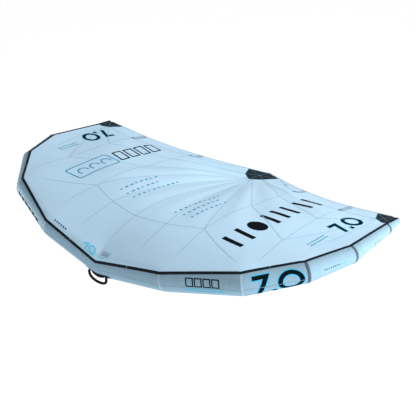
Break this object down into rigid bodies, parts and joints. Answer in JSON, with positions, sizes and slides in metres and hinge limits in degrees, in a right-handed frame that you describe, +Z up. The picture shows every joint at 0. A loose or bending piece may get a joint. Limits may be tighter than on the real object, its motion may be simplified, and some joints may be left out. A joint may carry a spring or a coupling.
{
  "type": "wingfoil wing",
  "caption": "Hand-held inflatable wing for foiling: air tube leading edge, centre strut, cloth canopy, rigid hand grips, soft nose loop and pump valve.",
  "frame": {"origin": "middle of the front hand grip's bar, where the wing is held", "axes": "+X to the wing's right tip, +Y from the leading edge to the trailing edge, +Z up to the canopy's top"},
  "size_m": [3.572, 2.436, 0.53],
  "materials": {
    "casing": "woven polyester, matt",
    "canopy": "ripstop cloth, satin",
    "black_cloth": "coated cloth, matt",
    "band_grey": "woven tape, matt",
    "pocket_grey": "woven cloth, matt",
    "bladder": "thin clear film, smooth",
    "batten": "moulded strip, satin",
    "foam": "closed cell foam, matt",
    "carbon": "carbon laminate, satin",
    "plastic": "moulded, fine grain",
    "webbing": "woven webbing, matt",
    "steel": "satin",
    "hose": "extruded, smooth",
    "silicone": "smooth, translucent"
  },
  "bodies": {
    "wing": {"batten_left_1": "batten", "batten_left_2": "batten", "batten_pocket_left_1": "pocket_grey", "batten_pocket_left_2": "pocket_grey", "batten_pocket_right_1": "pocket_grey", "batten_pocket_right_2": "pocket_grey", "batten_right_1": "batten", "batten_right_2": "batten", "canopy": "canopy", "canopy_seam_tape": "black_cloth", "front_grip_bar": "carbon", "front_grip_rail": "plastic", "front_grip_sleeve": "foam", "hose_barb_le": "plastic", "hose_barb_strut": "plastic", "le_band_left_3": "band_grey", "le_band_left_4": "band_grey", "le_band_left_5": "band_grey", "le_band_right_3": "band_grey", "le_band_right_4": "band_grey", "le_band_right_5": "band_grey", "le_bladder": "bladder", "le_panel_left_1": "casing", "le_panel_left_2": "casing", "le_panel_left_3": "casing", "le_panel_left_4": "casing", "le_panel_left_5": "casing", "le_panel_left_6": "casing", "le_panel_right_1": "casing", "le_panel_right_2": "casing", "le_panel_right_3": "casing", "le_panel_right_4": "casing", "le_panel_right_5": "casing", "le_panel_right_6": "casing", "leash_patch": "black_cloth", "leash_staple": "steel", "link_hose": "hose", "nose_handle_patch": "black_cloth", "pinch_clip_channel": "plastic", "rear_grip_bar": "carbon", "rear_grip_rail": "plastic", "rear_grip_sleeve": "foam", "strut_bladder": "bladder", "strut_collar": "black_cloth", "strut_panel_front": "casing", "strut_panel_middle": "casing", "strut_panel_rear": "casing", "strut_tail_cap": "casing", "strut_web": "canopy", "te_centre_patch": "black_cloth", "tip_patch_left": "black_cloth", "tip_patch_right": "black_cloth", "trailing_edge_hem": "pocket_grey", "valve_housing": "plastic"},
    "nose_handle": {"nose_handle_loop": "webbing"},
    "leash_webbing": {"leash_loop": "webbing"},
    "valve_cap": {"valve_plug": "plastic"},
    "one_way_flap": {"valve_flap": "silicone"},
    "clip_lever": {"pinch_clip_lever": "plastic"}
  },
  "joints": [
    {"name": "nose_handle_swing", "type": "hinge", "parent": "wing", "child": "nose_handle", "pos_m": [0, -0.75783, -0.14111], "axis": [1, 0, 0], "range_deg": [-120, 35]},
    {"name": "leash_loop_swing", "type": "hinge", "parent": "wing", "child": "leash_webbing", "pos_m": [0, -0.19953, 0.05371], "axis": [1, 0, 0], "range_deg": [-60, 80]},
    {"name": "valve_cap_turn", "type": "hinge", "parent": "wing", "child": "valve_cap", "pos_m": [0.37006, -0.51675, -0.05394], "axis": [0.0232, 0.9333, -0.3583], "range_deg": [0, 90]},
    {"name": "one_way_flap_swing", "type": "hinge", "parent": "wing", "child": "one_way_flap", "pos_m": [0.36613, -0.53128, -0.02617], "axis": [-0.9867, -0.0364, -0.1587], "range_deg": [0, 50], "stiffness_Nm_per_rad": 0.001},
    {"name": "clip_lever_swing", "type": "hinge", "parent": "wing", "child": "clip_lever", "pos_m": [0.16103, -0.37638, 0.01911], "axis": [0.9744, 0.2246, 0], "range_deg": [0, 70]}
  ]
}
